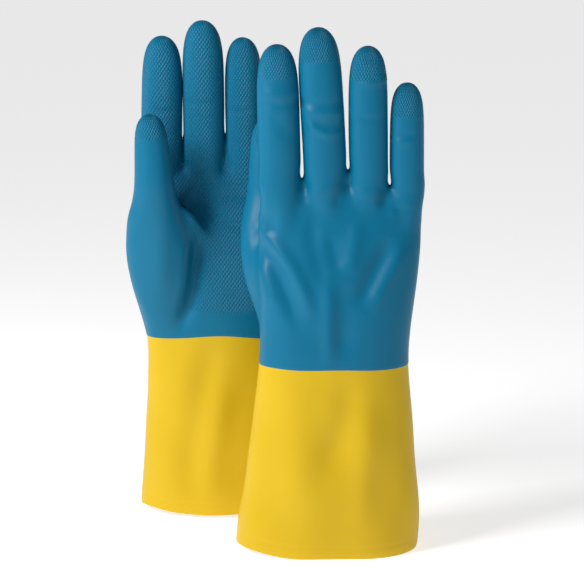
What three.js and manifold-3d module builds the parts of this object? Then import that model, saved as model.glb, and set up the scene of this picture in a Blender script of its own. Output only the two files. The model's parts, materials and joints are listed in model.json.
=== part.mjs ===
// A pair of dipped rubber work gloves, standing on their cuffs: a left glove and, mirrored, a right glove.
// Each glove is a flock-lined latex gauntlet whose hand was dipped a second time in neoprene.
// The skin bends at the wrist and at every knuckle, so it is cut there into stalls that turn on hinges.
//
// A glove is drawn in its own frame, in millimetres: +Z runs from the cuff's edge to the fingertips,
// the thumb is on the -X side and the palm faces -Y. The right glove is the left one mirrored in Y.

import * as THREE from "three";
import { mergeVertices } from "three/addons/utils/BufferGeometryUtils.js";
import Module from "manifold-3d";

const wasm = await Module();
wasm.setup();

// ---------------------------------------------------------------- driving dimensions

const CUFF_LENGTH = 117; // cuff's edge to the dip line
const CUFF_EDGE_WIDTH = 113;
const CUFF_EDGE_DEPTH = 66;
const WRIST_WIDTH = 91;
const WRIST_DEPTH = 52;
const WRIST_OFFSET = 3; // the wrist sits this far to the little finger's side of the cuff
const WRIST_HINGE_ABOVE_DIP = 9;

const PALM_LENGTH = 107; // dip line to the foot of the finger webs
const PALM_WIDTH = 106;
const KNUCKLE_DEPTH = 30;

const SKIN = 0.8; // rubber wall: latex with its second dip
const LINING = 0.6; // cotton flock
const LAYER_GAP = 0.3; // kept between the rubber and the flock
const CUT_GAP = 0.4; // kept between the two sides of a knuckle cut
const BARE_HEM = 7; // the flock stops this far above the cuff's edge

// How far each knuckle bends towards the palm. The thumb stands in the index finger's way.
const FREE_BEND = { base: 50, mid: 90, tip: 60 };
const INDEX_BEND = { base: 30, mid: 48, tip: 32 };

// Web is the height of a finger's root above the dip line, and gap its distance to the finger before it.
const FINGERS = {
  index: { web: 112, length: 81, width: 24.5, gap: 0, splay: { left: 4, right: -1 }, bend: INDEX_BEND },
  middle: { web: 114, length: 89, width: 26, gap: 2.25, splay: { left: 2.5, right: -3.5 }, bend: FREE_BEND },
  ring: { web: 112, length: 80, width: 23.5, gap: 0.75, splay: { left: 1.5, right: 0 }, bend: FREE_BEND },
  little: { web: 107, length: 63, width: 19.5, gap: 2, splay: { left: 0.5, right: 0 }, bend: FREE_BEND },
};
const FINGER_ROW_OFFSET = 8; // the middle of the row of fingers, to the little finger's side of the cuff's
const FINGER_DEPTH_SHARE = 0.86; // a finger's depth over its width
const FINGER_TAPER = 0.9; // width where the tip starts to round, over the width at the root
const TIP_ROUNDING = 0.62; // length of the rounded tip, over the finger's width
const KNUCKLES = { base: 0.115, mid: 0.42, tip: 0.7 }; // hinge heights, as shares of the finger's length

const THUMB = { x: -34, y: -34, hinge: 97, joint: 26, length: 50, width: 24, depth: 22, lean: 2 };
const THUMB_BEND = { base: 40, tip: 60 }; // across the palm; the base also spreads outwards
const WRIST_BEND = 30; // each way

// Where the two gloves stand, and how far each leans sideways.
const GLOVE_SPACING = { across: 65, back: 91 };
const LEAN = { left: -3, right: 0 };

const HAND_SIDES = 24;
const FINGER_SIDES = 12;

// ---------------------------------------------------------------- values that follow

const WRIST_HINGE = CUFF_LENGTH + WRIST_HINGE_ABOVE_DIP;
const BEVEL_MARGIN = 1; // degrees that a knuckle cut is opened beyond its bend
const REACH = 200; // longer than any piece that a cutter has to pass
const SLIVER = 0.02; // edges shorter than this, left by the cuts, are merged away
const radians = THREE.MathUtils.degToRad;
const lerp = THREE.MathUtils.lerp;

// ---------------------------------------------------------------- solids

function solidOf(geometry) {
  const bare = geometry.clone();
  bare.deleteAttribute("normal");
  bare.deleteAttribute("uv");
  const merged = mergeVertices(bare, 1e-4);
  return new wasm.Manifold(
    new wasm.Mesh({
      numProp: 3,
      vertProperties: new Float32Array(merged.attributes.position.array),
      triVerts: new Uint32Array(merged.index.array),
    }),
  );
}

function geometryOf(solid) {
  const mesh = solid.simplify(SLIVER).getMesh();
  const geometry = new THREE.BufferGeometry();
  geometry.setAttribute("position", new THREE.BufferAttribute(mesh.vertProperties, 3));
  geometry.setIndex(new THREE.BufferAttribute(mesh.triVerts, 1));
  geometry.computeVertexNormals();
  return geometry;
}

// A closed loft through flat ovals: a station is one oval's centre, half sizes and height.
// Squareness 2 is an ellipse, and more is boxier.
function ovalLoft(stations, sides, squareness = 2) {
  const rings = stations.length - 1;
  const geometry = new THREE.CylinderGeometry(1, 1, 1, sides, rings).rotateX(Math.PI / 2);
  const position = geometry.attributes.position;
  const squared = (value) => Math.sign(value) * Math.abs(value) ** (2 / squareness);
  for (let i = 0; i < position.count; i += 1) {
    const station = stations[Math.round((position.getZ(i) + 0.5) * rings)];
    position.setXYZ(
      i,
      station.x + squared(position.getX(i)) * station.halfWidth,
      station.y + squared(position.getY(i)) * station.halfDepth,
      station.z,
    );
  }
  return solidOf(geometry);
}

// A prism along X whose outline is given in Y and Z.
function prismAlongX(outline) {
  const shape = new THREE.Shape(outline.map(([y, z]) => new THREE.Vector2(y, z)));
  const geometry = new THREE.ExtrudeGeometry(shape, { depth: 2 * REACH, bevelEnabled: false });
  geometry.translate(0, 0, -REACH);
  geometry.applyMatrix4(
    new THREE.Matrix4().makeBasis(
      new THREE.Vector3(0, 1, 0),
      new THREE.Vector3(0, 0, 1),
      new THREE.Vector3(1, 0, 0),
    ),
  );
  return solidOf(geometry);
}

// What lies between two hinges of a limb that bends towards -Y and is no deeper than twice the reach.
// Each end is cut square behind the hinge and bevelled in front of it, and behind it too where the
// joint bends both ways.
function betweenHinges(low, high, reach) {
  const rise = (hinge, y) => {
    if (y > 0 && !hinge.bothWays) return 0;
    return Math.abs(y) * Math.tan(radians(hinge.bend / 2 + BEVEL_MARGIN));
  };
  const edge = (hinge, direction) =>
    [-reach, 0, reach].map((y) => [
      y,
      hinge.z + direction * (CUT_GAP / 2 + rise(hinge, y)),
    ]);
  return prismAlongX([...edge(low, 1), ...edge(high, -1).reverse()]);
}

function endless(z) {
  return { z, bend: -2 * BEVEL_MARGIN, bothWays: false };
}

function moved(solid, matrix) {
  return solid.transform(matrix.elements);
}

// ---------------------------------------------------------------- digits

// The outer oval of a digit at a height above its root, pulled in by inset.
function digitStation(digit, z, inset) {
  const rounding = TIP_ROUNDING * digit.width;
  const shoulder = digit.length - rounding;
  const along = THREE.MathUtils.clamp(z / shoulder, 0, 1);
  const half = (size) => (size / 2) * lerp(1, FINGER_TAPER, along) - inset;
  const past = Math.max(0, (z - shoulder) / rounding);
  const roundness = Math.sqrt(Math.max(0, 1 - past * past));
  return {
    x: 0,
    y: 0,
    z: Math.min(z, digit.length) - (z > shoulder ? inset * past : 0),
    halfWidth: half(digit.width) * roundness,
    halfDepth: half(digit.depth) * roundness,
  };
}

// A whole digit with its closed tip, reaching down below its root into the hand.
function digitSolid(digit, inset, below) {
  const rounding = TIP_ROUNDING * digit.width;
  const shoulder = digit.length - rounding;
  const roundedTip = [0.45, 0.75, 0.93].map((share) => shoulder + share * rounding);
  const heights = [inset - below, 0, shoulder / 2, shoulder, ...roundedTip];
  return ovalLoft(
    heights.map((z) => digitStation(digit, z, inset)),
    FINGER_SIDES,
  );
}

function digitHinges(digit) {
  return Object.entries(digit.knuckles).map(([segment, z]) => ({
    segment,
    z,
    bend: digit.bend[segment],
    bothWays: digit.spreads && segment === "base",
  }));
}

function digitSegments(digit) {
  const shell = digitSolid(digit, 0, digit.below).subtract(digitSolid(digit, SKIN, digit.below));
  const hinges = digitHinges(digit);
  return hinges.map((hinge, i) => ({
    segment: hinge.segment,
    solid: shell.intersect(
      betweenHinges(hinge, hinges[i + 1] ?? endless(digit.length + 1), digit.depth / 2 + 1),
    ),
  }));
}

// The stump of the digit that belongs to the hand, below the first hinge.
function digitStump(digit, inset, cut) {
  const whole = digitSolid(digit, inset, digit.below);
  const hinge = digitHinges(digit)[0];
  const top = cut ? hinge : endless(hinge.z + digit.width / 2);
  return moved(whole.intersect(betweenHinges(endless(-REACH), top, digit.depth / 2 + 1)), digit.placement);
}

// The fingers stand side by side across the knuckles, and x is the middle of a finger's root.
function fingerRow() {
  const fingers = Object.entries(FINGERS);
  const rowWidth = fingers.reduce((sum, [, finger]) => sum + finger.gap + finger.width, 0);
  let edge = FINGER_ROW_OFFSET - rowWidth / 2;
  return fingers.map(([name, finger]) => {
    const x = edge + finger.gap + finger.width / 2;
    edge = x + finger.width / 2;
    return { ...finger, name, x };
  });
}

function fingersOf(side) {
  return fingerRow().map((finger) => ({
    ...finger,
    depth: finger.width * FINGER_DEPTH_SHARE,
    below: 26,
    spreads: false,
    knuckles: Object.fromEntries(
      Object.entries(KNUCKLES).map(([knuckle, share]) => [knuckle, share * finger.length]),
    ),
    placement: new THREE.Matrix4()
      .makeTranslation(finger.x, 0, CUFF_LENGTH + finger.web)
      .multiply(new THREE.Matrix4().makeRotationY(radians(finger.splay[side]))),
  }));
}

// The thumb folds across the palm, so its frame is turned: its own -Y points to the little finger.
function thumb() {
  return {
    name: "thumb",
    length: THUMB.length,
    width: THUMB.depth,
    depth: THUMB.width,
    below: 20,
    spreads: true,
    bend: THUMB_BEND,
    knuckles: { base: 0, tip: THUMB.joint },
    placement: new THREE.Matrix4()
      .makeTranslation(THUMB.x, THUMB.y, CUFF_LENGTH + THUMB.hinge)
      .multiply(new THREE.Matrix4().makeRotationX(radians(THUMB.lean)))
      .multiply(new THREE.Matrix4().makeRotationZ(Math.PI / 2)),
  };
}

// ---------------------------------------------------------------- hand and cuff

// Half sizes of the palm at shares of its length: left and right edges, and half the depth.
function palmSolid(inset, openAtWrist) {
  const half = PALM_WIDTH / 2;
  const outline = [
    { share: 0, left: WRIST_OFFSET - WRIST_WIDTH / 2, right: WRIST_OFFSET + WRIST_WIDTH / 2, depth: WRIST_DEPTH / 2 },
    { share: 0.2, left: -0.92 * half, right: 0.96 * half, depth: 0.98 * (WRIST_DEPTH / 2) },
    { share: 0.42, left: -1.03 * half, right: 1.03 * half, depth: 0.9 * (WRIST_DEPTH / 2) },
    { share: 0.65, left: -half, right: 1.07 * half, depth: 0.78 * (WRIST_DEPTH / 2) },
    { share: 0.86, left: -0.88 * half, right: 1.09 * half, depth: 1.13 * (KNUCKLE_DEPTH / 2) },
    { share: 1, left: -0.83 * half, right: 1.08 * half, depth: KNUCKLE_DEPTH / 2 - 2 },
  ];
  const stations = outline.map((o) => ({
    x: (o.left + o.right) / 2,
    y: 0,
    z: o.share === 0 ? WRIST_HINGE : CUFF_LENGTH + o.share * PALM_LENGTH - (o.share === 1 ? inset : 0),
    halfWidth: (o.right - o.left) / 2 - inset,
    halfDepth: o.depth - inset,
  }));
  if (openAtWrist) stations.unshift({ ...stations[0], z: CUFF_LENGTH - 10 });
  return ovalLoft(stations, HAND_SIDES, 2.3);
}

// The ball of the thumb: a column that leaves the palm at the wrist and carries the thumb.
function thumbBallSolid(inset) {
  const column = [
    { share: 0.07, x: -27, y: -3, width: 28, depth: 34 },
    { share: 0.35, x: -32, y: -14, width: 42, depth: 34 },
    { share: 0.65, x: -33, y: -23, width: 40, depth: 30 },
    { share: 0.86, x: THUMB.x, y: THUMB.y + 4, width: THUMB.width + 2, depth: THUMB.depth + 3 },
  ];
  const stations = column.map((c) => ({
    x: c.x,
    y: c.y,
    z: CUFF_LENGTH + c.share * THUMB.hinge + (c.share < 0.1 ? inset : 0),
    halfWidth: c.width / 2 - inset,
    halfDepth: c.depth / 2 - inset,
  }));
  return ovalLoft(stations, FINGER_SIDES, 2.1);
}

// One layer of the hand, between two insets from its outer skin, open at the wrist and at each digit.
function handLayer(digits, outer, inner) {
  const build = (inset, cut) =>
    digits
      .map((digit) => digitStump(digit, inset, cut))
      .reduce((sum, stump) => sum.add(stump), palmSolid(inset, true).add(thumbBallSolid(inset)));
  const wrist = { z: WRIST_HINGE, bend: WRIST_BEND, bothWays: true };
  const layer = build(outer, true).subtract(build(inner, false));
  return layer.intersect(betweenHinges(wrist, endless(CUFF_LENGTH + PALM_LENGTH + REACH), REACH / 2));
}

// One layer of the cuff: a flared oval sleeve from a height above its edge to the wrist hinge.
function cuffLayer(outer, inner, from) {
  const sleeve = (inset, past) => {
    const at = (z) => {
      const share = Math.min(z / CUFF_LENGTH, 1);
      const flare = (1 - share) ** 1.5;
      return {
        x: lerp(WRIST_OFFSET, 0, flare),
        y: 0,
        z,
        halfWidth: lerp(WRIST_WIDTH, CUFF_EDGE_WIDTH, flare) / 2 - inset,
        halfDepth: lerp(WRIST_DEPTH, CUFF_EDGE_DEPTH, flare) / 2 - inset,
      };
    };
    const heights = [from, 0.25 * CUFF_LENGTH, 0.5 * CUFF_LENGTH, 0.75 * CUFF_LENGTH, WRIST_HINGE];
    const stations = heights.map(at);
    if (past) {
      stations.unshift({ ...stations[0], z: from - 5 });
      stations.push({ ...stations.at(-1), z: WRIST_HINGE + 5 });
    }
    return ovalLoft(stations, HAND_SIDES, 2.3);
  };
  const wrist = { z: WRIST_HINGE, bend: WRIST_BEND, bothWays: true };
  const layer = sleeve(outer, false).subtract(sleeve(inner, true));
  return layer.intersect(betweenHinges(endless(-REACH), wrist, REACH / 2));
}

// ---------------------------------------------------------------- assembly

const neoprene = new THREE.MeshStandardMaterial({ color: 0x2583ac, roughness: 0.5, metalness: 0 });
const latex = new THREE.MeshStandardMaterial({ color: 0xe6c22c, roughness: 0.55, metalness: 0 });
const flock = new THREE.MeshStandardMaterial({ color: 0xf0e9d8, roughness: 1, metalness: 0 });

function namedMesh(name, solid, material) {
  const mesh = new THREE.Mesh(geometryOf(solid), material);
  mesh.name = name;
  return mesh;
}

function glove(side) {
  const digits = [...fingersOf(side), thumb()];
  const lined = SKIN + LAYER_GAP;
  const group = new THREE.Group();
  group.add(
    namedMesh(`${side}_cuff`, cuffLayer(0, SKIN, 0), latex),
    namedMesh(`${side}_cuff_lining`, cuffLayer(lined, lined + LINING, BARE_HEM), flock),
    namedMesh(`${side}_hand`, handLayer(digits, 0, SKIN), neoprene),
    namedMesh(`${side}_hand_lining`, handLayer(digits, lined, lined + LINING), flock),
  );
  for (const digit of digits) {
    for (const { segment, solid } of digitSegments(digit)) {
      group.add(namedMesh(`${side}_${digit.name}_${segment}`, moved(solid, digit.placement), neoprene));
    }
  }
  return group;
}

// Stands a glove in the pair: leaned sideways, mirrored if it is the right one, and moved to its place.
function placed(side, x, y) {
  const group = glove(side);
  const lean = new THREE.Matrix4().makeShear(0, 0, 0, 0, Math.tan(radians(LEAN[side])), 0);
  const mirror = new THREE.Matrix4().makeScale(1, side === "right" ? -1 : 1, 1);
  group.matrixAutoUpdate = false;
  group.matrix.makeTranslation(x, y, 0).multiply(mirror).multiply(lean);
  return group;
}

const pair = new THREE.Group();
pair.add(
  placed("left", -GLOVE_SPACING.across / 2, GLOVE_SPACING.back / 2),
  placed("right", GLOVE_SPACING.across / 2, -GLOVE_SPACING.back / 2),
);

// The pair's origin is the middle of the floor that it takes up.
pair.updateMatrixWorld(true);
const middle = new THREE.Box3().setFromObject(pair, true).getCenter(new THREE.Vector3());
pair.position.set(-middle.x, -middle.y, 0);

export default pair;
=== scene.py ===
"""A pair of two-colour dipped rubber gloves, standing on their cuffs: the left one behind, palm forward,
and the right one in front, back forward.

Each glove is drawn in its own frame, in millimetres: +Z runs from the cuff's edge to the fingertips, the
thumb is on the -X side and the palm faces -Y. The right glove is drawn as a left one and mirrored in Y.
The skin is one closed surface until its folds are pressed in; then it is cut at the dip line and inside
every finger bone, so that each piece bends across one joint.
"""

import json
import math

import bmesh
import bpy
import numpy as np
from mathutils import Matrix, Vector


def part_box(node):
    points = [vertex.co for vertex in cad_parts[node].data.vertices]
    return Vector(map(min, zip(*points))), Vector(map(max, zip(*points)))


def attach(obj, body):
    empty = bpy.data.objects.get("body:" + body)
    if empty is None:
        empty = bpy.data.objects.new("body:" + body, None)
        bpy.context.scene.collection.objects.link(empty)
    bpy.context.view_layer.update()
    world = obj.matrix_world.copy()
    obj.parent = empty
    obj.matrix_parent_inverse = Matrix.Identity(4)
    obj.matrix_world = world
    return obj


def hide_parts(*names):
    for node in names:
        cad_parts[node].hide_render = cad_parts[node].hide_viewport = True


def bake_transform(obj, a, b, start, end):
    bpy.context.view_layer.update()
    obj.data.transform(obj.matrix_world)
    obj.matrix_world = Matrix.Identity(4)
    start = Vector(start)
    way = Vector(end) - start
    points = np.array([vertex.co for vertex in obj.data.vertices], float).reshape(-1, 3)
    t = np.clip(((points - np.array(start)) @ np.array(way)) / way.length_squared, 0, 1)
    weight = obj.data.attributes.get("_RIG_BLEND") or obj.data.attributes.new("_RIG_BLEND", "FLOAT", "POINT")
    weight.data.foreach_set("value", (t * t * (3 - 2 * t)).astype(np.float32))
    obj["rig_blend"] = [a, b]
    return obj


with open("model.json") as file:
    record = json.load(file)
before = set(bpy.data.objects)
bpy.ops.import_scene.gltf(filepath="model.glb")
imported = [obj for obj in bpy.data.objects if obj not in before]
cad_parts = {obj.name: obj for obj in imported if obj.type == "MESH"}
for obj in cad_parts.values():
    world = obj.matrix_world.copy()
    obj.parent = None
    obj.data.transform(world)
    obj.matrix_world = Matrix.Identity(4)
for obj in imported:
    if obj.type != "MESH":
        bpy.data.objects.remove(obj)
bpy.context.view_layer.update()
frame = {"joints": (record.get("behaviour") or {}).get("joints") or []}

MM = 0.001
SIDES = ("left", "right")
FINGERS = ("index", "middle", "ring", "little")
JOINTS = {joint["name"]: joint for joint in frame["joints"]}

# ---------------------------------------------------------------- sizes, in millimetres

VOXEL = 1.2  # the skin's face size before the grip is cut into it
RUBBER = 0.8  # wall
FLOCK = 0.5
FLOCK_GAP = 0.2
BARE_HEM = 7  # the flock stops this far above the cuff's edge
DIP_STEP = 0.3  # the second dip stands this proud of the first

DIP_LINE = 117
WRIST_BEND = (121.5, 146)  # the skin between these heights turns with the wrist
LEAN = {"left": -3, "right": 0}  # degrees, sideways

FINGER_WIDTH = {
    "left": {"index": 25.8, "middle": 26.2, "ring": 23.4, "little": 19.8},
    "right": {"index": 25.0, "middle": 25.8, "ring": 23.1, "little": 20.1},
}
FINGER_DEPTH_SHARE = {"index": 0.85, "middle": 0.84, "ring": 0.84, "little": 0.82}
THUMB_WIDTH = 22
ROOT_DEPTH = 16  # a finger's tube is drawn from a root this far below its base knuckle
WIDTH_GAIN = 1.012  # makes up for what smoothing takes off a finger's width,
TIP_GAIN = 0.8  # and off its tip
FINGERTIP_CURL = 1.2  # how far a relaxed fingertip stands towards the palm
ROOT_SLOPE = 0.11  # how steeply a finger's root runs towards the back of the palm
THUMB_FRONT = -17.5  # depth that parts the fingers' skin from the thumb's, which is in front
CUT_MARGIN = 0.3  # a digit's skin starts this far below the stretch that bends

# ---------------------------------------------------------------- the frame's places


def origin_of(side):
    low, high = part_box(f"{side}_cuff")
    return Vector(((low.x + high.x) / 2, (low.y + high.y) / 2, 0)) / MM


ORIGIN = {side: origin_of(side) for side in SIDES}
SHEAR = {side: math.tan(math.radians(LEAN[side])) for side in SIDES}
MIRROR = {"left": 1, "right": -1}


def to_row(side, points):
    """Points of the glove's own frame, in the pair's frame and in metres."""
    p = np.array(points, float).reshape(-1, 3)
    origin = ORIGIN[side]
    x = p[:, 0] + SHEAR[side] * p[:, 2] + origin.x
    y = MIRROR[side] * p[:, 1] + origin.y
    return np.stack([x, y, p[:, 2]], axis=1) * MM


def to_glove(side, point):
    """A point of the pair's frame, in metres, in the glove's own frame."""
    p = Vector(point) / MM - ORIGIN[side]
    return Vector((p.x - SHEAR[side] * p.z, MIRROR[side] * p.y, p.z))


def knuckle(side, digit, segment):
    return to_glove(side, JOINTS[f"{side}_{digit}_{segment}_knuckle"]["pos_m"])


def tip_height(side, digit):
    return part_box(f"{side}_{digit}_tip")[1].z / MM


# ---------------------------------------------------------------- small helpers


def smooth(low, high, value):
    t = np.clip((value - low) / (high - low), 0, 1)
    return t * t * (3 - 2 * t)


def bell(distance, width):
    return np.exp(-((distance / width) ** 2))


def only(obj):
    bpy.ops.object.select_all(action="DESELECT")
    obj.select_set(True)
    bpy.context.view_layer.objects.active = obj


def finish_modifier(obj, kind, **settings):
    only(obj)
    modifier = obj.modifiers.new(kind.lower(), kind)
    for name, value in settings.items():
        setattr(modifier, name, value)
    bpy.ops.object.modifier_apply(modifier=modifier.name)


def coordinates(mesh):
    co = np.empty(len(mesh.vertices) * 3)
    mesh.vertices.foreach_get("co", co)
    return co.reshape(-1, 3)


def set_coordinates(mesh, co):
    mesh.vertices.foreach_set("co", np.asarray(co, np.float32).ravel())
    mesh.update()


def normals_of(mesh):
    normals = np.empty(len(mesh.vertices) * 3)
    mesh.vertex_normals.foreach_get("vector", normals)
    return normals.reshape(-1, 3)


# ---------------------------------------------------------------- tubes


def section(centre, half_width, palm, back, across=(1, 0, 0), outwards=(0, 1, 0), squareness=2.2):
    """An oval: across is its width's direction, outwards points to the back of the hand."""
    return {
        "centre": Vector(centre),
        "across": Vector(across),
        "outwards": Vector(outwards),
        "half_width": half_width,
        "palm": palm,
        "back": back,
        "squareness": squareness,
    }


def on_oval(oval, turn):
    def squared(value):
        return math.copysign(abs(value) ** (2 / oval["squareness"]), value)

    depth = oval["back"] if math.sin(turn) > 0 else oval["palm"]
    return (
        oval["centre"]
        + oval["across"] * (squared(math.cos(turn)) * oval["half_width"])
        + oval["outwards"] * (squared(math.sin(turn)) * depth)
    )


def tube(name, sections, sides):
    """Extrudes a disc from oval to oval, into a closed tube."""
    bpy.ops.object.select_all(action="DESELECT")
    bpy.ops.mesh.primitive_circle_add(vertices=sides, radius=1, fill_type="NGON")
    obj = bpy.context.object
    obj.name = name
    bpy.ops.object.mode_set(mode="EDIT")
    bm = bmesh.from_edit_mesh(obj.data)
    turn = bm.verts.layers.float.new("turn")
    for vert in bm.verts:
        vert[turn] = math.atan2(vert.co.y, vert.co.x)
        vert.co = on_oval(sections[0], vert[turn])
    bmesh.update_edit_mesh(obj.data)
    for oval in sections[1:]:
        bpy.ops.mesh.extrude_region_move()
        bm = bmesh.from_edit_mesh(obj.data)
        turn = bm.verts.layers.float["turn"]
        for vert in bm.verts:
            if vert.select:
                vert.co = on_oval(oval, vert[turn])
        bmesh.update_edit_mesh(obj.data)
    bpy.ops.mesh.select_all(action="SELECT")
    bpy.ops.mesh.normals_make_consistent(inside=False)
    bpy.ops.object.mode_set(mode="OBJECT")
    return obj


# ---------------------------------------------------------------- the hand's tubes

# Height, thumb-side edge, little-finger-side edge, depth towards the palm and towards the back.
CUFF_AND_PALM = {
    "left": (
        (-8, -56.8, 56.5, 33, 33),
        (6, -56.4, 56.5, 33, 33),
        (30, -53.8, 56, 32, 32),
        (62, -49.4, 54, 30, 30),
        (95, -46.6, 51, 28, 28),
        (117, -45.6, 48.8, 26.5, 26.5),
        (132, -45.4, 49.5, 25.5, 25.5),
        (154, -45, 52.2, 23.5, 24),
        (177, -44.5, 55, 20.5, 19.5),
        (198, -43.5, 56.5, 17, 13.5),
        (212, -42, 57, 12.5, 9.5),
        (221, -40, 56, 9, 6.5),
        (225, -37, 53, 6, 4.5),
    ),
    "right": (
        (-8, -56.8, 56.5, 33, 33),
        (6, -56.4, 56.5, 33, 33),
        (21, -55.5, 56.5, 32.5, 32.5),
        (36, -52.3, 55.8, 32, 32),
        (62, -48.4, 54, 30, 30),
        (95, -45.4, 51, 28, 28),
        (117, -42.4, 48.8, 26.5, 26.5),
        (132, -41.6, 49.5, 25.5, 25.5),
        (154, -42.6, 52.2, 23.5, 24),
        (177, -43.3, 55, 20.5, 19.5),
        (198, -43, 56.5, 17, 13.5),
        (212, -42, 57, 12.5, 9.5),
        (221, -40, 56, 9, 6.5),
        (225, -37, 53, 6, 4.5),
    ),
}

# Height, thumb-side edge, palm-side edge, the middle's depth in front of the wrist's middle, half depth.
BALL_OF_THUMB = {
    "left": (
        (96, -40, -20, -2, 12),
        (114, -45.5, -18, -5, 14),
        (130, -48.4, -14, -8, 17),
        (146, -52, -12, -12, 18),
        (162, -55, -10, -17, 18),
        (180, -54.8, -10, -22, 17),
        (194, -52.2, -14, -26, 15),
        (206, -47.4, -18, -30, 13),
    ),
    "right": (
        (104, -36, -20, -3, 12),
        (122, -39, -18, -6, 14),
        (136, -41.5, -14, -10, 17),
        (148, -45.5, -12, -13, 18),
        (158, -50, -11, -16, 18),
        (170, -54, -10, -19, 17.5),
        (184, -54.8, -11, -23, 16.5),
        (196, -53.6, -15, -26.5, 14.5),
        (207, -51.6, -20, -30, 13),
    ),
}

# How far below the tip, over the digit's width, and how wide the digit is there, over its width.
TIP_PROFILE = ((1.2, 1.0), (0.8, 0.96), (0.52, 0.89), (0.3, 0.77), (0.14, 0.58), (0.04, 0.36), (0.0, 0.12))

# Degrees that a finger is spread sideways while the skin is made, so that the gaps stay open,
# and how it then stands: leaned towards the thumb, and towards the palm.
SPREAD = {"index": -7, "middle": -2, "ring": 3, "little": 8}
STANCE = {
    "left": {"index": (0, 0), "middle": (-0.3, 1.0), "ring": (-1.2, -1.0), "little": (-0.6, -0.5)},
    "right": {"index": (0.5, 0), "middle": (-0.1, 0.4), "ring": (0.4, 0), "little": (0.3, 0.6)},
}

# Where the skin between two fingers ends: across, and its height.
CROTCHES = ((-13, 229.5), (11.5, 234), (35.5, 224.7))


def palm_tube(side):
    sections = []
    for height, thumb_side, little_side, palm, back in CUFF_AND_PALM[side]:
        middle = (thumb_side + little_side) / 2
        half = (little_side - thumb_side) / 2
        sections.append(section((middle, 0, height), half, palm, back, squareness=2.3))
    return tube("palm", sections, 40)


def finger_axis(side, digit):
    """Where a finger's skin leaves the palm, and the direction that it points in."""
    base = knuckle(side, digit, "base")
    direction = (knuckle(side, digit, "tip") - base).normalized()
    return base, direction


def spread_line(side, digit):
    """A finger's root, and the direction that it points in while the fingers are spread."""
    base, direction = finger_axis(side, digit)
    spread = Matrix.Rotation(math.radians(SPREAD[digit]), 3, "Y")
    return base - direction * ROOT_DEPTH, spread @ direction


def finger_tube(side, digit):
    root, direction = spread_line(side, digit)
    length = (tip_height(side, digit) + TIP_GAIN - root.z) / finger_axis(side, digit)[1].z
    width = FINGER_WIDTH[side][digit]
    stations = [(-34, 0.7), (-20, 0.86), (-8, 0.96), (4, 0.99), (14, 1.0), (30, 1.0)]
    stations += [(length - below * width, share) for below, share in TIP_PROFILE]
    across = direction.cross(Vector((0, -1, 0))).normalized()
    sections = []
    for along, share in stations:
        curl = -FINGERTIP_CURL * max(0, along / length) ** 2 - ROOT_SLOPE * min(0, along)
        half = share * width / 2 * WIDTH_GAIN
        centre = root + direction * along + Vector((0, curl, 0))
        depth = half * FINGER_DEPTH_SHARE[digit]
        sections.append(section(centre, half, depth, depth, across))
    return tube(digit, sections, 24)


def thumb_top(side):
    """The thumb's middle above its root: across and forward."""
    tip = knuckle(side, "thumb", "tip")
    return tip.x + {"left": 1.6, "right": -3}[side], tip.y


def thumb_tube(side):
    sections = []
    for height, thumb_side, palm_side, forward, half_depth in BALL_OF_THUMB[side]:
        middle = (thumb_side + palm_side) / 2
        half = (palm_side - thumb_side) / 2
        sections.append(section((middle, forward, height), half, half_depth, half_depth))
    across, forward = thumb_top(side)
    top = tip_height(side, "thumb")
    for height, share in ((218, 1.13), (232, 1.04)):
        half = share * THUMB_WIDTH / 2
        sections.append(section((across, forward + 1, height), half, half * 0.95, half * 0.95))
    for below, share in TIP_PROFILE[1:]:
        half = share * THUMB_WIDTH / 2
        height = top - below * THUMB_WIDTH
        sections.append(section((across, forward, height), half, half * 0.86, half * 0.86))
    return tube("thumb", sections, 24)


def web_tube():
    """The fold of skin between the thumb and the palm."""
    start, end = Vector((-24, -28, 202)), Vector((-3, -20, 181))
    along = (end - start).normalized()
    outwards = Vector((0.35, 0.93, 0.1))
    outwards = (outwards - along * outwards.dot(along)).normalized()
    across = along.cross(outwards)
    sections = []
    for share, half in ((0, 7), (0.35, 8), (0.7, 8), (1, 5)):
        centre = start.lerp(end, share)
        sections.append(section(centre, half, 4.5, 4.5, across, outwards))
    return tube("web", sections, 16)


def crotch_tube(across, height):
    sections = []
    for below, share in ((22, 1), (12, 1), (4, 0.9), (1, 0.6), (0, 0.2)):
        sections.append(section((across, 0, height - below), 6.5 * share, 6 * share, 5 * share))
    return tube("crotch", sections, 16)


# ---------------------------------------------------------------- the skin


def fused_skin(side):
    parts = [palm_tube(side), thumb_tube(side), web_tube()]
    parts += [finger_tube(side, digit) for digit in FINGERS]
    parts += [crotch_tube(across, height) for across, height in CROTCHES]
    bpy.ops.object.select_all(action="DESELECT")
    for part in parts:
        part.select_set(True)
    bpy.context.view_layer.objects.active = parts[0]
    bpy.ops.object.join()
    skin = bpy.context.object
    skin.name = f"{side}_skin"
    finish_modifier(skin, "SUBSURF", levels=2, render_levels=2)
    finish_modifier(skin, "REMESH", mode="VOXEL", voxel_size=VOXEL, adaptivity=0)
    finish_modifier(skin, "SMOOTH", factor=0.5, iterations=6)
    return skin


def relax(mesh, co, weight, rounds):
    """Draws each point towards the middle of its neighbours, by its weight."""
    ends = np.empty(len(mesh.edges) * 2, np.int32)
    mesh.edges.foreach_get("vertices", ends)
    a, b = ends.reshape(-1, 2).T
    size = len(co)
    count = np.bincount(ends, minlength=size)[:, None]
    for _ in range(rounds):
        total = [np.bincount(a, co[b, k], size) + np.bincount(b, co[a, k], size) for k in range(3)]
        co = co + weight[:, None] * (np.stack(total, axis=1) / count - co)
    return co


def ball_weight(co):
    """Where the ball of the thumb runs into the palm, and the web into both."""
    x, y, z = co.T
    low = smooth(88, 104, z) * smooth(200, 184, z) * smooth(24, 8, x)
    return 0.9 * low * smooth(14, 2, y)


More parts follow.
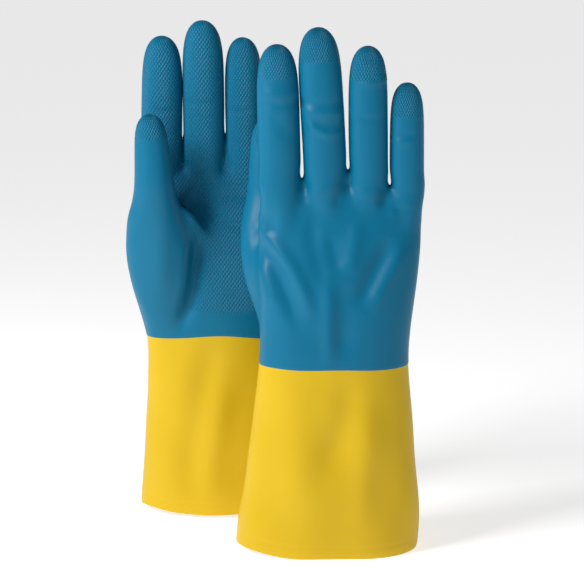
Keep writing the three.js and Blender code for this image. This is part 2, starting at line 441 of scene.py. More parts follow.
def crotch_weight(co):
    """The saddles between the fingers, and the row of knuckles."""
    x, y, z = co.T
    weight = smooth(186, 200, z) * smooth(228, 216, z) * smooth(-17.5, -14, y)
    for across, height in CROTCHES:
        near = bell(np.hypot(x - across, z - height), 6)
        weight = np.maximum(weight, near)
    return 0.7 * weight


def gather_fingers(side, co):
    """Turns the spread fingers back to where they stand."""
    shares = {}
    for digit in FINGERS:
        root, heading = [np.array(vector) for vector in spread_line(side, digit)]
        along = (co - root) @ heading
        middle = root[0] + along * heading[0] / heading[2]
        off = np.abs(co[:, 0] - middle) / (FINGER_WIDTH[side][digit] / 2)
        shares[digit] = (np.exp(-(off**6)) + 1e-9, along, root)
    total = sum(share[0] for share in shares.values())
    moved = co.copy()
    for digit in FINGERS:
        influence, along, root = shares[digit]
        above_palm = smooth(-2, 20, along) * smooth(-24, -20, co[:, 1])
        weight = above_palm * influence / total
        across, forward = STANCE[side][digit]
        turn = weight * math.radians(-SPREAD[digit] - across)
        tilt = weight * math.radians(forward)
        p = co - root
        x = p[:, 0] * np.cos(turn) + p[:, 2] * np.sin(turn)
        z = -p[:, 0] * np.sin(turn) + p[:, 2] * np.cos(turn)
        y = p[:, 1] * np.cos(tilt) - z * np.sin(tilt)
        z = p[:, 1] * np.sin(tilt) + z * np.cos(tilt)
        moved += np.stack([x, y, z], axis=1) - p
    return moved


# ---------------------------------------------------------------- folds and creases

# The face that it is on, how wide, how high (below zero is a groove), and its course across and up.
FOLDS = {
    "right": (
        ("back", 2.6, 0.5, ((-37.8, 201.8), (-42.6, 194.0))),
        ("back", 5.0, -2.9, ((-44.5, 195), (-38.5, 187), (-33.9, 180), (-29, 170), (-24, 158), (-18, 142))),
        ("back", 4.4, 2.0, ((-38, 197), (-31.5, 189.0), (-21.9, 177), (-15, 163), (-10, 148))),
        ("back", 5.0, 1.2, ((-41, 180), (-38, 168), (-33, 152))),
        ("back", 3.4, 0.9, ((-40.4, 230.2), (-38.6, 216), (-37.6, 203.2))),
        ("back", 4.0, -1.1, ((-34.3, 213), (-33.9, 202), (-35.5, 194.7))),
        ("back", 5.0, -1.4, ((1.5, 198), (2.6, 188), (5.2, 175.1))),
        ("back", 6.5, -2.9, ((37.8, 195), (33.5, 184), (28.2, 173.9), (21.5, 161), (17.4, 152))),
        ("back", 5.5, 1.8, ((44, 192), (40, 182), (34.2, 170.9), (28.5, 160), (23.5, 151))),
        ("back", 3.4, -1.1, ((10.6, 232), (8.4, 226), (5.4, 218), (4.3, 212))),
        ("back", 3.2, -1.0, ((34.4, 226), (33.4, 221), (32.6, 212))),
        ("back", 3.2, -0.9, ((-13.6, 229), (-14.6, 222), (-15.5, 214))),
        ("back", 3.0, 0.5, ((38.3, 212), (39, 206))),
        ("back", 9.0, 0.6, ((-7.5, 226), (-5.5, 219))),
        ("back", 8.0, 0.5, ((22.6, 225), (22.4, 218))),
        ("back", 8.0, 0.4, ((45.5, 220), (45, 212))),
        ("back", 4.6, 1.5, ((0.1, 172), (0.2, 145), (0.3, 119))),
        ("back", 7.0, -1.5, ((9.5, 170), (9.5, 146), (9, 122))),
        ("back", 5.0, 1.3, ((17, 205), (15.5, 190), (12, 172))),
        ("back", 5.0, -1.2, ((-10, 208), (-9, 192), (-3, 170))),
        ("back", 10.0, -0.6, ((-11, 170), (-12, 146), (-14, 124))),
        ("back", 2.4, -0.55, ((-41.8, 275.8), (-28, 274.4), (-16.2, 275.8))),
        ("back", 3.2, 0.6, ((-42.8, 281.4), (-28, 279.6), (-14.2, 281.8))),
        ("back", 5.0, -0.6, ((-36, 268), (-28, 262), (-22, 252))),
        ("back", 2.4, -0.5, ((-18, 276.4), (-4, 274.6), (9.2, 275.7))),
        ("back", 3.0, 0.9, ((-18.6, 271.4), (-2, 268.6), (11.4, 269.8))),
        ("back", 2.4, 1.1, ((-15.0, 267.4), (-9, 260.5), (-1, 256.8), (8, 258.4))),
        ("back", 4.5, -0.6, ((-9, 264), (1, 262.5), (7, 263.4))),
        ("back", 5.5, -0.8, ((24.5, 305), (26.5, 298.6))),
        ("back", 2.2, 1.0, ((18.0, 287.2), (27, 287.0), (35.9, 290.4))),
        ("back", 2.0, -0.45, ((17, 266.6), (24, 265.4), (31, 266.8))),
        ("back", 2.0, 0.4, ((39.6, 252.3), (45, 251.5), (51, 252.3))),
        ("back", 1.9, -0.4, ((40, 256.6), (46, 256), (53, 257))),
        ("palm", 2.2, -0.5, ((-40, 247), (-28, 246), (-17, 247))),
        ("palm", 2.2, -0.5, ((-15, 250), (-2, 249), (11, 250))),
        ("palm", 2.2, -0.5, ((12, 247), (24, 246), (36, 247))),
        ("palm", 5.0, -1.6, ((-11.7, 188), (-9, 170), (-13.5, 142), (-23, 126))),
        ("back", 9.0, -1.8, ((12.2, 114), (11.5, 91), (6, 72), (-1.5, 53))),
        ("back", 8.0, 1.5, ((23.5, 98), (22.6, 72), (21, 46), (19.6, 14))),
        ("back", 11.0, 0.9, ((-20, 112), (-17, 80), (-16, 46), (-18, 16))),
        ("back", 12.0, -0.9, ((-36, 104), (-34, 70), (-37, 34), (-38, 12))),
        ("back", 9.0, -0.8, ((37, 104), (38, 66), (37, 26))),
        ("palm", 11.0, -1.6, ((4, 110), (-6, 76), (-14, 38), (-14, 10))),
        ("palm", 9.0, 1.2, ((20, 106), (16, 70), (12, 28))),
    ),
    "left": (
        ("palm", 4.4, -3.2, ((-7, 186), (-8.5, 170), (-11.5, 152), (-16, 138), (-24, 122))),
        ("palm", 4.0, 0.9, ((-14, 186), (-16, 170), (-19, 152), (-24, 138))),
        ("palm", 7.5, -4.6, ((-12, 210), (-4, 204), (4, 192))),
        ("palm", 3.0, 1.4, ((-19, 208), (-13, 201), (-6, 192), (-2, 185))),
        ("palm", 3.4, 0.7, ((-46.2, 206), (-48.5, 190), (-53, 170), (-49, 150), (-43.5, 136), (-41, 124))),
        ("palm", 6.0, 0.8, ((-28, 206), (-29, 190), (-31, 170), (-33, 150))),
        ("palm", 7.0, -0.7, ((-40, 200), (-42, 182), (-42, 164), (-38, 146))),
        ("palm", 3.4, -1.0, ((-13.4, 231), (-13.8, 224), (-13.0, 216))),
        ("palm", 3.4, -1.0, ((11.8, 234), (12, 226), (11, 219))),
        ("palm", 3.2, -0.9, ((35.2, 224), (34.6, 216))),
        ("palm", 8.0, 1.0, ((-1, 224), (-0.5, 216))),
        ("palm", 8.0, 1.0, ((24, 226), (23, 217))),
        ("palm", 3.2, -0.9, ((-6, 202), (6, 207), (20, 209), (36, 206), (50, 202))),
        ("palm", 3.0, -0.8, ((-4, 190), (8, 193), (22, 188), (34, 176), (44, 164))),
        ("palm", 1.9, -0.5, ((-36, 263), (-26, 262), (-17, 263))),
        ("palm", 1.9, -0.5, ((-12, 268), (0, 267), (11, 268))),
        ("palm", 1.9, -0.5, ((14, 263), (24, 262), (33, 263))),
        ("back", 1.9, -0.5, ((-38, 263), (-28, 262), (-18, 263))),
        ("back", 1.9, -0.5, ((-13, 268.5), (-1, 267.5), (10, 268.5))),
        ("back", 1.9, -0.5, ((13, 263), (24, 262), (34, 263))),
        ("back", 1.9, -0.4, ((40, 251), (46, 250.4), (53, 251))),
        ("back", 3.4, -1.0, ((-13.4, 231), (-14, 222), (-14.5, 214))),
        ("back", 3.4, -1.0, ((11.8, 234), (10, 222), (8, 212))),
        ("back", 3.2, -0.9, ((35.2, 224), (34, 214))),
        ("back", 7.0, -1.6, ((34, 196), (27, 178), (19, 158))),
        ("back", 5.0, -1.8, ((-42, 196), (-34, 182), (-27, 168))),
        ("back", 9.0, -1.4, ((4, 112), (2, 84), (-6, 50))),
        ("back", 9.0, 1.2, ((20, 100), (18, 60), (16, 16))),
        ("palm", 9.0, -2.0, ((-1, 119), (-6, 98), (-12.3, 77.5), (-19, 50), (-22.5, 30), (-22, 8))),
        ("palm", 8.0, 1.5, ((3, 92), (0, 70), (-6.8, 38.1), (-11.5, 8))),
        ("palm", 7.0, 1.0, ((-39.4, 124), (-41, 98), (-42, 70))),
        ("palm", 12.0, -1.0, ((18, 112), (16, 74), (12, 36), (10, 10))),
        ("palm", 9.0, 1.1, ((34, 108), (34, 62), (32, 18))),
    ),
}


def from_course(x, z, course):
    """How far each point is from a course of straight runs, and how far along the course it is, 0 to 1."""
    points = np.array(course, float)
    steps = np.diff(points, axis=0)
    lengths = np.hypot(steps[:, 0], steps[:, 1])
    starts = np.concatenate([[0], np.cumsum(lengths)])
    nearest = np.full(len(x), 1e9)
    along = np.zeros(len(x))
    for point, step, length, start in zip(points, steps, lengths, starts):
        t = ((x - point[0]) * step[0] + (z - point[1]) * step[1]) / length**2
        t = np.clip(t, 0, 1)
        off = np.hypot(x - point[0] - t * step[0], z - point[1] - t * step[1])
        closer = off < nearest
        nearest[closer] = off[closer]
        along[closer] = ((start + t * length) / starts[-1])[closer]
    return nearest, along


def fold_lift(side, co, normals):
    x, y, z = co.T
    lift = np.zeros(len(co))
    for face, width, height, course in FOLDS[side]:
        near, along = from_course(x, z, course)
        sign = 1 if face == "back" else -1
        facing = smooth(-0.05, 0.45, sign * normals[:, 1])
        ends = smooth(-0.1, 0.3, along) * smooth(1.1, 0.7, along)
        lift += height * facing * ends * bell(near, width)
    return lift


def slack(co):
    """The slow unevenness of a soft skin that nothing fills."""
    x, y, z = co.T
    wave = 0.45 * np.sin(x / 11 + z / 19 + 0.6) * np.sin(z / 26 - y / 15 + 1.2)
    wave += 0.25 * np.sin(x / 6.5 - z / 31 + y / 9) * np.sin(z / 14 + 0.4)
    cuff = smooth(112, 70, z)
    return wave * (0.5 + cuff * 1.2) * smooth(300, 225, z)


# ---------------------------------------------------------------- the dip line and the hem


def dip_rise(side, co):
    """How far the dip line is above its height, as the glove was not quite level in the tank."""
    x, y, z = co.T
    ripple = 0.35 * np.sin(x / 9 + 1) + 0.2 * np.sin(y / 6 + x / 17)
    if side == "left":
        return ripple - 0.8 + 2.6 * bell(x - 4, 34) * smooth(4, -16, y)
    return ripple - 0.8


def hem_rise(side, co):
    """How far the cuff's edge stands off the floor."""
    x, y, z = co.T
    if side == "left":
        front = 2.0 * smooth(4, -20, y)
        return 0.4 + front + 2.8 * smooth(-30, -57, x) + 1.2 * smooth(38, 57, x) + 0.3 * np.sin(x / 8)
    return 0.3 + 3.4 * smooth(-16, -57, x) + 0.4 * smooth(40, 57, x) + 0.25 * np.sin(x / 9 + 2)


# ---------------------------------------------------------------- the cuts

# Each finger's hinges are where the frame has them. The skin is cut between the stretches that bend.
BEND_REACH = {
    "index": {"base": (-3, 11), "mid": (-12, 12), "tip": (-8, 8)},
    "middle": {"base": (-4, 11), "mid": (-12, 12), "tip": (-8, 8)},
    "ring": {"base": (-3, 11), "mid": (-12, 12), "tip": (-8, 8)},
    "little": {"base": (-4, 8.5), "mid": (-9, 9), "tip": (-7, 7)},
    "thumb": {"base": (-6, 10), "tip": (-9, 9)},
}
SEGMENTS = {digit: ("base", "mid", "tip") for digit in FINGERS}
SEGMENTS["thumb"] = ("base", "tip")
THUMB_REACH = {"out": 20, "in": 14.5, "back": 14.5}  # the thumb's skin is within these of its middle line


def finger_numbers(side, co):
    """The number of the nearest finger, told while the fingers are still spread."""
    offs = []
    for digit in FINGERS:
        root, heading = spread_line(side, digit)
        middle = root.x + (co[:, 2] - root.z) * heading.x / heading.z
        offs.append(np.abs(co[:, 0] - middle) / FINGER_WIDTH[side][digit])
    return np.argmin(offs, axis=0)


def digit_line(side, digit):
    """A point of a digit's middle line and its direction."""
    if digit == "thumb":
        across, forward = thumb_top(side)
        return np.array((across, forward, knuckle(side, "thumb", "base").z)), np.array((0, 0, 1.0))
    base, direction = finger_axis(side, digit)
    return np.array(base), np.array(direction)


def hinge_places(side, digit):
    start, direction = digit_line(side, digit)
    return [float((np.array(knuckle(side, digit, s)) - start) @ direction) for s in SEGMENTS[digit]]


def cut_places(side, digit):
    """How far along its middle line a digit's skin is cut: at its root, and between its bends."""
    hinges = hinge_places(side, digit)
    reach = BEND_REACH[digit]
    ends = [(hinge + reach[s][0], hinge + reach[s][1]) for hinge, s in zip(hinges, SEGMENTS[digit])]
    cuts = [ends[0][0] - CUT_MARGIN]
    cuts += [(lower[1] + upper[0]) / 2 for lower, upper in zip(ends, ends[1:])]
    return cuts


def on_digit(side, digit, co, numbers):
    """How far points are along a digit's middle line, and whether they belong to that digit."""
    start, direction = digit_line(side, digit)
    along = (co - start) @ direction
    if digit == "thumb":
        across, back = (co[:, :2] - start[:2]).T
        beside = (across > -THUMB_REACH["out"]) & (across < THUMB_REACH["in"])
        return along, beside & (back < THUMB_REACH["back"])
    return along, (numbers == FINGERS.index(digit)) & (co[:, 1] > THUMB_FRONT)


def cut_near(bm, faces, place, heading):
    edges = {edge for face in faces for edge in face.edges}
    verts = {vert for face in faces for vert in face.verts}
    near = list(faces) + list(edges) + list(verts)
    bmesh.ops.bisect_plane(bm, geom=near, dist=1e-4, plane_co=place, plane_no=heading)


def cut_level(bm, height, rise):
    """Cuts along a line that rises above a level by the named amount at each point."""
    layer = bm.verts.layers.float[rise]
    for vert in bm.verts:
        vert.co.z -= vert[layer]
    near = [face for face in bm.faces if abs(face.verts[0].co.z - height) < 4]
    cut_near(bm, near, (0, 0, height), (0, 0, 1))
    for vert in bm.verts:
        vert.co.z += vert[layer]


def store(mesh, name, kind, values):
    attribute = mesh.attributes.new(name, kind, "POINT")
    field = "vector" if kind == "FLOAT_VECTOR" else "value"
    attribute.data.foreach_set(field, np.asarray(values, np.float32).ravel())


def fetch(mesh, name):
    values = np.empty(len(mesh.vertices))
    mesh.attributes[name].data.foreach_get("value", values)
    return values


def cut_skin(side, skin):
    """Cuts the skin along the dip line, the hem, and across each digit."""
    mesh = skin.data
    co = coordinates(mesh)
    store(mesh, "dip", "FLOAT", dip_rise(side, co))
    store(mesh, "hem", "FLOAT", hem_rise(side, co))
    bm = bmesh.new()
    bm.from_mesh(mesh)
    cut_level(bm, DIP_LINE, "dip")
    cut_level(bm, 0, "hem")
    finger = bm.verts.layers.float["finger"]
    for digit in SEGMENTS:
        start, direction = digit_line(side, digit)
        for cut in cut_places(side, digit):
            faces = list(bm.faces)
            centres = np.array([face.calc_center_median() for face in faces])
            numbers = np.array([round(face.verts[0][finger]) for face in faces])
            along, mine = on_digit(side, digit, centres, numbers)
            near = [faces[k] for k in np.nonzero(mine & (np.abs(along - cut) < 3))[0]]
            cut_near(bm, near, start + direction * cut, direction)
    bm.to_mesh(mesh)
    bm.free()


def part_of_faces(side, mesh, faces):
    """The name of the part that each face belongs to; none below the hem."""
    co = coordinates(mesh)
    above_dip = co[:, 2] - fetch(mesh, "dip") - DIP_LINE
    above_hem = co[:, 2] - fetch(mesh, "hem")
    centres = np.array([co[face].mean(axis=0) for face in faces])
    fingers = np.rint(fetch(mesh, "finger"))
    numbers = np.array([fingers[face[0]] for face in faces])
    parts = np.array(["hand"] * len(faces), dtype="<U16")
    parts[np.array([above_dip[face].mean() < 0 for face in faces])] = "cuff"
    parts[np.array([above_hem[face].mean() < 0 for face in faces])] = ""
    for digit, segments in SEGMENTS.items():
        along, mine = on_digit(side, digit, centres, numbers)
        for segment, cut in zip(segments, cut_places(side, digit)):
            parts[mine & (along > cut)] = f"{digit}_{segment}"
    return parts


# ---------------------------------------------------------------- the grip

# Heights, and how far across the fold between the palm and the ball of the thumb runs at each.
THUMB_FOLD = ((126, 142, 170, 188, 200, 212), (-23, -13.5, -9, -11.7, -14, -42))


def grip_pattern(side, co, normals, numbers):
    """Where the grip's ribs run: two distances over the skin, and how strongly the ribs stand up."""
    x, y, z = co.T
    fold = np.interp(z, *THUMB_FOLD)
    border = 134 + 12 * ((x - 14) / 44) ** 4  # the grip's lower edge, which climbs towards both sides
    palm = smooth(0.1, -0.35, normals[:, 1]) * smooth(-1.5, 1.5, x - fold)
    palm = palm * smooth(-1, 1, z - border) * (1 - smooth(197, 204, z) * smooth(-17.5, -19.5, y))
    above = smooth(224, 236, z)
    u = x.copy()
    strength = palm * (1 - above)
    for digit in FINGERS:
        place, heading = digit_line(side, digit)
        along, mine = on_digit(side, digit, co, numbers)
        middle = place[0] + along * heading[0]
        reach = FINGER_WIDTH[side][digit] / 2
        angle = np.arctan2(x - middle, 0.5 - y)
        folded = np.sign(angle) * np.minimum(np.abs(angle), np.pi - np.abs(angle))
        ends = tip_height(side, digit) - z
        sides = smooth(1.75, 1.35, np.abs(angle))
        wrapped = smooth(21.5, 18.5, ends)
        held = above * np.maximum(sides, wrapped)
        strength = np.where(mine & (z > 222), strength + held, strength)
        u = np.where(mine & (z > 222), x + above * (middle + reach * folded - x), u)
    place, heading = digit_line(side, "thumb")
    along, mine = on_digit(side, "thumb", co, numbers)
    mine = mine & (z > 216)
    angle = np.arctan2(x - place[0], place[1] - y)
    folded = np.sign(angle) * np.minimum(np.abs(angle), np.pi - np.abs(angle))
    ends = tip_height(side, "thumb") - z
    held = smooth(17.5, 14.5, ends)
    inner = smooth(0.9, 1.3, angle) * smooth(2.9, 2.5, angle) * smooth(218, 226, z)
    strength = np.where(mine, np.maximum(held, inner), strength)
    u = np.where(mine, THUMB_WIDTH / 2 * folded, u)
    return np.stack([u, z, np.clip(strength, 0, 1)], axis=1)


# ---------------------------------------------------------------- walls


def wall(name, side, skin, faces, fields, outer, thickness):
    """A closed wall: the skin's faces moved inwards by outer, and again by outer and thickness."""
    co, normals = skin
    used = np.unique(np.concatenate(faces))
    index = np.full(len(co), -1)
    index[used] = np.arange(len(used))
    outside = [index[face].tolist() for face in faces]
    size = len(used)
    top = co[used] - normals[used] * outer
    bottom = co[used] - normals[used] * (outer + thickness)
    edges = {}
    for face in outside:
        for a, b in zip(face, face[1:] + face[:1]):
            if edges.pop((b, a), None) is None:
                edges[(a, b)] = True
    inside = [[v + size for v in reversed(face)] for face in outside]
    rims = [[b, a, a + size, b + size] for a, b in edges]
    polygons = outside + rims + inside
    if MIRROR[side] < 0:
        polygons = [face[::-1] for face in polygons]
    mesh = bpy.data.meshes.new(name)
    mesh.from_pydata(to_row(side, np.concatenate([top, bottom])), [], polygons)
    for field, values in fields.items():
        store(mesh, field, "FLOAT_VECTOR", np.concatenate([values[used], values[used]]))
    materials = np.zeros(len(polygons), np.int32)
    materials[len(outside) + len(rims) :] = 1
    mesh.polygons.foreach_set("material_index", materials)
    mesh.validate()
    mesh.update()
    obj = bpy.data.objects.new(name, mesh)
    bpy.context.collection.objects.link(obj)
    return obj


# ---------------------------------------------------------------- materials


def linear(red, green, blue):
    def channel(value):
        value /= 255
        return value / 12.92 if value <= 0.04045 else ((value + 0.055) / 1.055) ** 2.4

    return (channel(red), channel(green), channel(blue), 1)


def new_group(name, inputs, outputs):
    group = bpy.data.node_groups.new(name, "ShaderNodeTree")
    for socket, kind in inputs:
        group.interface.new_socket(socket, in_out="INPUT", socket_type=kind)
    for socket, kind in outputs:
        group.interface.new_socket(socket, in_out="OUTPUT", socket_type=kind)
    return group, group.nodes.new("NodeGroupInput"), group.nodes.new("NodeGroupOutput")


def add_node(tree, kind, settings=None, values=None, links=None):
    """A node with its settings, its constant inputs, and what is linked to its other inputs."""
    node = tree.nodes.new(kind)
    for name, value in (settings or {}).items():
        setattr(node, name, value)
    for name, value in (values or {}).items():
        node.inputs[name].default_value = value
    for name, source in (links or {}).items():
        tree.links.new(source, node.inputs[name])
    return node


def maths(tree, operation, first, second=None, clamp=False):
    values, links = {}, {}
    for place, value in ((0, first), (1, second)):
        if isinstance(value, (int, float)):
            values[place] = value
        elif value is not None:
            links[place] = value
    settings = {"operation": operation, "use_clamp": clamp}
    return add_node(tree, "ShaderNodeMath", settings, values, links).outputs[0]


def make_uneven_group():
    """The unevenness of a dipped or flocked surface: colour, roughness and height."""
    inputs = (
        ("Place", "NodeSocketVector"),
        ("Main", "NodeSocketColor"),
        ("Other", "NodeSocketColor"),
        ("Mottle", "NodeSocketFloat"),
        ("Roughness", "NodeSocketFloat"),
        ("Roughness spread", "NodeSocketFloat"),
        ("Grain", "NodeSocketFloat"),
    )
    outputs = (
        ("Colour", "NodeSocketColor"),
        ("Roughness", "NodeSocketFloat"),
        ("Height", "NodeSocketFloat"),
    )
    tree, given, result = new_group("uneven surface", inputs, outputs)
    place = given.outputs["Place"]

    def noise(scale, detail):
        values = {"Scale": scale, "Detail": detail, "Roughness": 0.55}
        return add_node(tree, "ShaderNodeTexNoise", None, values, {"Vector": place}).outputs["Fac"]

    cloud = noise(26, 3)
    share = maths(tree, "MULTIPLY", maths(tree, "SUBTRACT", cloud, 0.35), given.outputs["Mottle"], True)
    settings = {"data_type": "RGBA"}
    colour = add_node(tree, "ShaderNodeMix", settings)
    tree.links.new(share, colour.inputs[0])
    tree.links.new(given.outputs["Main"], colour.inputs[6])
    tree.links.new(given.outputs["Other"], colour.inputs[7])
    patches = maths(tree, "SUBTRACT", noise(190, 4), 0.5)
    spread = maths(tree, "MULTIPLY", patches, given.outputs["Roughness spread"])
    roughness = maths(tree, "ADD", given.outputs["Roughness"], spread, True)
    grain = add_node(tree, "ShaderNodeTexNoise", None, {"Detail": 3.0, "Roughness": 0.6}, {"Vector": place})
    tree.links.new(given.outputs["Grain"], grain.inputs["Scale"])
    tree.links.new(colour.outputs[2], result.inputs["Colour"])
    tree.links.new(roughness, result.inputs["Roughness"])
    tree.links.new(grain.outputs["Fac"], result.inputs["Height"])
    return tree


def make_grip_group():
    """Two families of slanting ribs that cross in diamonds."""
    inputs = (("Pattern", "NodeSocketVector"), ("Pitch", "NodeSocketFloat"), ("Slant", "NodeSocketFloat"))
    tree, given, result = new_group("diamond grip", inputs, (("Height", "NodeSocketFloat"),))
    parts = add_node(tree, "ShaderNodeSeparateXYZ", None, None, {0: given.outputs["Pattern"]}).outputs
    across = maths(tree, "DIVIDE", parts[0], given.outputs["Pitch"])
    rows = maths(tree, "DIVIDE", parts[1], given.outputs["Pitch"])
    up = maths(tree, "MULTIPLY", rows, given.outputs["Slant"])
    ribs = []
    for operation in ("ADD", "SUBTRACT"):
        phase = maths(tree, operation, up, across)
        ribs.append(maths(tree, "MULTIPLY", maths(tree, "PINGPONG", phase, 0.5), 2.0))
    rib = maths(tree, "POWER", maths(tree, "MAXIMUM", *ribs), 2.5)
    tree.links.new(maths(tree, "MULTIPLY", rib, parts[2]), result.inputs["Height"])
    return tree


def attribute_output(tree, name):
    return add_node(tree, "ShaderNodeAttribute", {"attribute_name": name}).outputs["Vector"]


def surface(name, main, other, mottle, roughness, spread, grain, grain_height, grip_height, specular):
    """A material whose colours are red, green and blue up to 255, and whose heights are in millimetres."""
    material = bpy.data.materials.new(name)
    material.use_nodes = True
    tree = material.node_tree
    shader = tree.nodes["Principled BSDF"]
    uneven = add_node(tree, "ShaderNodeGroup", {"node_tree": UNEVEN})
    tree.links.new(attribute_output(tree, "rest"), uneven.inputs["Place"])
    uneven.inputs["Main"].default_value = linear(*main)
    uneven.inputs["Other"].default_value = linear(*other)
    uneven.inputs["Mottle"].default_value = mottle
    uneven.inputs["Roughness"].default_value = roughness
    uneven.inputs["Roughness spread"].default_value = spread
    uneven.inputs["Grain"].default_value = grain
    tree.links.new(uneven.outputs["Colour"], shader.inputs["Base Color"])
    tree.links.new(uneven.outputs["Roughness"], shader.inputs["Roughness"])
    shader.inputs["Specular IOR Level"].default_value = specular
    bump = add_node(tree, "ShaderNodeBump", None, {"Strength": 1.0, "Distance": grain_height * MM})
    tree.links.new(uneven.outputs["Height"], bump.inputs["Height"])
    if grip_height:
        grip = add_node(tree, "ShaderNodeGroup", {"node_tree": GRIP}, {"Pitch": 2.3, "Slant": 0.75})
        tree.links.new(attribute_output(tree, "grip"), grip.inputs["Pattern"])
        ribs = add_node(tree, "ShaderNodeBump", None, {"Strength": 1.0, "Distance": grip_height * MM})
        tree.links.new(grip.outputs["Height"], ribs.inputs["Height"])
        tree.links.new(bump.outputs["Normal"], ribs.inputs["Normal"])
        bump = ribs
    tree.links.new(bump.outputs["Normal"], shader.inputs["Normal"])
    return material


UNEVEN = make_uneven_group()
GRIP = make_grip_group()
NEOPRENE = surface(
    "neoprene",
    main=(4, 112, 148),
    other=(2, 102, 138),
    mottle=0.9,
    roughness=0.42,
    spread=0.12,
    grain=620,
    grain_height=0.03,
    grip_height=0.3,
    specular=0.22,
)
LATEX = surface(
    "latex",
    main=(220, 183, 24),
    other=(212, 173, 14),
    mottle=0.9,
    roughness=0.46,
    spread=0.12,
    grain=700,
    grain_height=0.03,
    grip_height=0,
    specular=0.24,
)
FLOCKING = surface(
    "flock",
    main=(238, 230, 208),
    other=(224, 214, 188),
    mottle=0.8,
    roughness=0.95,
    spread=0.05,
    grain=2600,
    grain_height=0.12,
    grip_height=0,
    specular=0.2,
)

# ---------------------------------------------------------------- one glove


def shaped_skin(side):
    skin = fused_skin(side)
    mesh = skin.data
    co = coordinates(mesh)
    store(mesh, "finger", "FLOAT", finger_numbers(side, co))
    co = relax(mesh, co, ball_weight(co), 60)
    co = gather_fingers(side, co)
    co = relax(mesh, co, crotch_weight(co), 14)
    set_coordinates(mesh, co)
    normals = normals_of(mesh)
    lift = fold_lift(side, co, normals) + slack(co)
    above_dip = co[:, 2] - dip_rise(side, co) - DIP_LINE
    above_hem = co[:, 2] - hem_rise(side, co)
    lift += DIP_STEP * smooth(0, 0.9, above_dip)
    lift += 0.25 * smooth(2.2, 0.4, above_hem) - 0.2 * bell(above_hem - BARE_HEM, 0.9)
    set_coordinates(mesh, co + normals * lift[:, None])
    cut_skin(side, skin)
    return skin


def make_piece(side, skin, faces, fields, depth, thickness, materials, name):
    obj = wall(name, side, skin, faces, fields, depth, thickness)
    for material in materials:
        obj.data.materials.append(material)
    only(obj)
    bpy.ops.object.shade_smooth_by_angle(angle=math.radians(65))
    return obj


def row_point(side, point):
    return tuple(to_row(side, point)[0])


def bend(obj, side, lower, upper, start, end):
    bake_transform(obj, f"{side}_{lower}", f"{side}_{upper}", row_point(side, start), row_point(side, end))


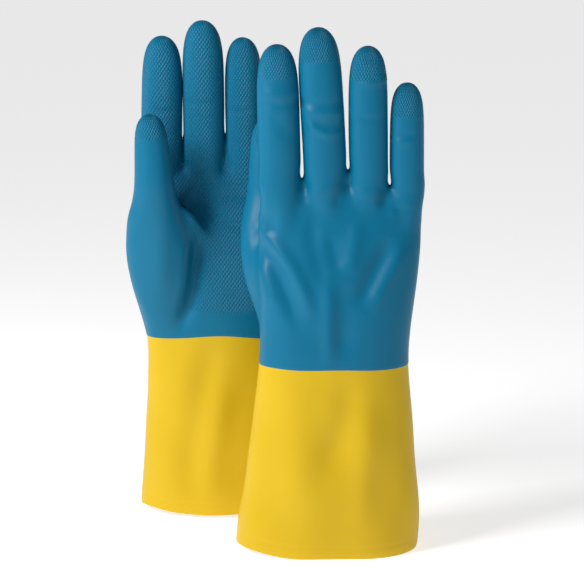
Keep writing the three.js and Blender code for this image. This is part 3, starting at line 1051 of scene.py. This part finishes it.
def build_glove(side):
    skin = shaped_skin(side)
    mesh = skin.data
    co, normals = coordinates(mesh), normals_of(mesh)
    all_faces = [np.array(face.vertices[:]) for face in mesh.polygons]
    parts = part_of_faces(side, mesh, all_faces)
    numbers = np.rint(fetch(mesh, "finger"))
    fields = {"rest": co * MM, "grip": grip_pattern(side, co, normals, numbers)}
    groups = {part: [all_faces[k] for k in np.nonzero(parts == part)[0]] for part in np.unique(parts)}
    whole = (co, normals)
    bpy.data.objects.remove(skin)

    cuff = make_piece(side, whole, groups["cuff"], fields, 0, RUBBER, (LATEX, LATEX), f"{side}_latex_cuff")
    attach(cuff, f"{side}_cuff")
    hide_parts(f"{side}_cuff")

    above_hem = co[:, 2] - hem_rise(side, co)
    lined = [face for face in groups["cuff"] if above_hem[face].mean() > BARE_HEM]
    depth = RUBBER + FLOCK_GAP
    flock = (FLOCKING, FLOCKING)
    lining = make_piece(side, whole, lined, fields, depth, FLOCK, flock, f"{side}_flock_in_cuff")
    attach(lining, f"{side}_cuff")
    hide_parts(f"{side}_cuff_lining")

    hinge = to_glove(side, JOINTS[f"{side}_wrist"]["pos_m"])
    start, end = [(hinge.x, hinge.y, height) for height in WRIST_BEND]
    blue = (NEOPRENE, NEOPRENE)
    hand = make_piece(side, whole, groups["hand"], fields, 0, RUBBER, blue, f"{side}_neoprene_hand")
    bend(hand, side, "cuff", "hand", start, end)
    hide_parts(f"{side}_hand")
    lining = make_piece(side, whole, groups["hand"], fields, depth, FLOCK, flock, f"{side}_flock_in_hand")
    bend(lining, side, "cuff", "hand", start, end)
    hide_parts(f"{side}_hand_lining")

    for digit, segments in SEGMENTS.items():
        place, direction = digit_line(side, digit)
        lower = "hand"
        for segment, hinge in zip(segments, hinge_places(side, digit)):
            part = f"{digit}_{segment}"
            name = f"{side}_{digit}_skin_{segment}"
            lined_blue = (NEOPRENE, FLOCKING)
            piece = make_piece(side, whole, groups[part], fields, 0, RUBBER, lined_blue, name)
            reach = BEND_REACH[digit][segment]
            start, end = [place + direction * (hinge + step) for step in reach]
            bend(piece, side, lower, part, start, end)
            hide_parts(f"{side}_{part}")
            lower = part


for side in SIDES:
    build_glove(side)

# ---------------------------------------------------------------- the studio


def make_camera():
    data = bpy.data.cameras.new("camera")
    data.lens = 131.6
    data.sensor_width = 36
    camera = bpy.data.objects.new("camera", data)
    bpy.context.collection.objects.link(camera)
    camera.location = (0.0132, -1.3255, 0.3854)
    camera.rotation_euler = (math.radians(80), 0, 0)
    bpy.context.scene.camera = camera


def make_lamp(name, place, target, power, size):
    light = bpy.data.lights.new(name, "AREA")
    light.energy = power
    light.size = size
    lamp = bpy.data.objects.new(name, light)
    bpy.context.collection.objects.link(lamp)
    lamp.location = place
    lamp.rotation_euler = (Vector(target) - lamp.location).to_track_quat("-Z", "Y").to_euler()


def make_floor():
    bpy.ops.object.select_all(action="DESELECT")
    bpy.ops.mesh.primitive_plane_add(size=80, location=(0, 0, 0))
    floor = bpy.context.object
    floor.name = "floor"
    paper = bpy.data.materials.new("white paper")
    paper.use_nodes = True
    shader = paper.node_tree.nodes["Principled BSDF"]
    shader.inputs["Base Color"].default_value = (0.93, 0.93, 0.93, 1)
    shader.inputs["Roughness"].default_value = 0.9
    shader.inputs["Emission Color"].default_value = (1, 1, 1, 1)
    shader.inputs["Emission Strength"].default_value = 0.65
    floor.data.materials.append(paper)


def make_world():
    world = bpy.data.worlds.new("white room")
    bpy.context.scene.world = world
    world.use_nodes = True
    room = world.node_tree.nodes["Background"]
    room.inputs["Color"].default_value = (1, 1, 1, 1)
    room.inputs["Strength"].default_value = 0.17


bpy.context.scene.view_settings.view_transform = "Standard"
make_camera()
make_floor()
make_world()
make_lamp("key", (-0.66, -0.46, 0.76), (0, 0, 0.22), 8.6, 0.4)
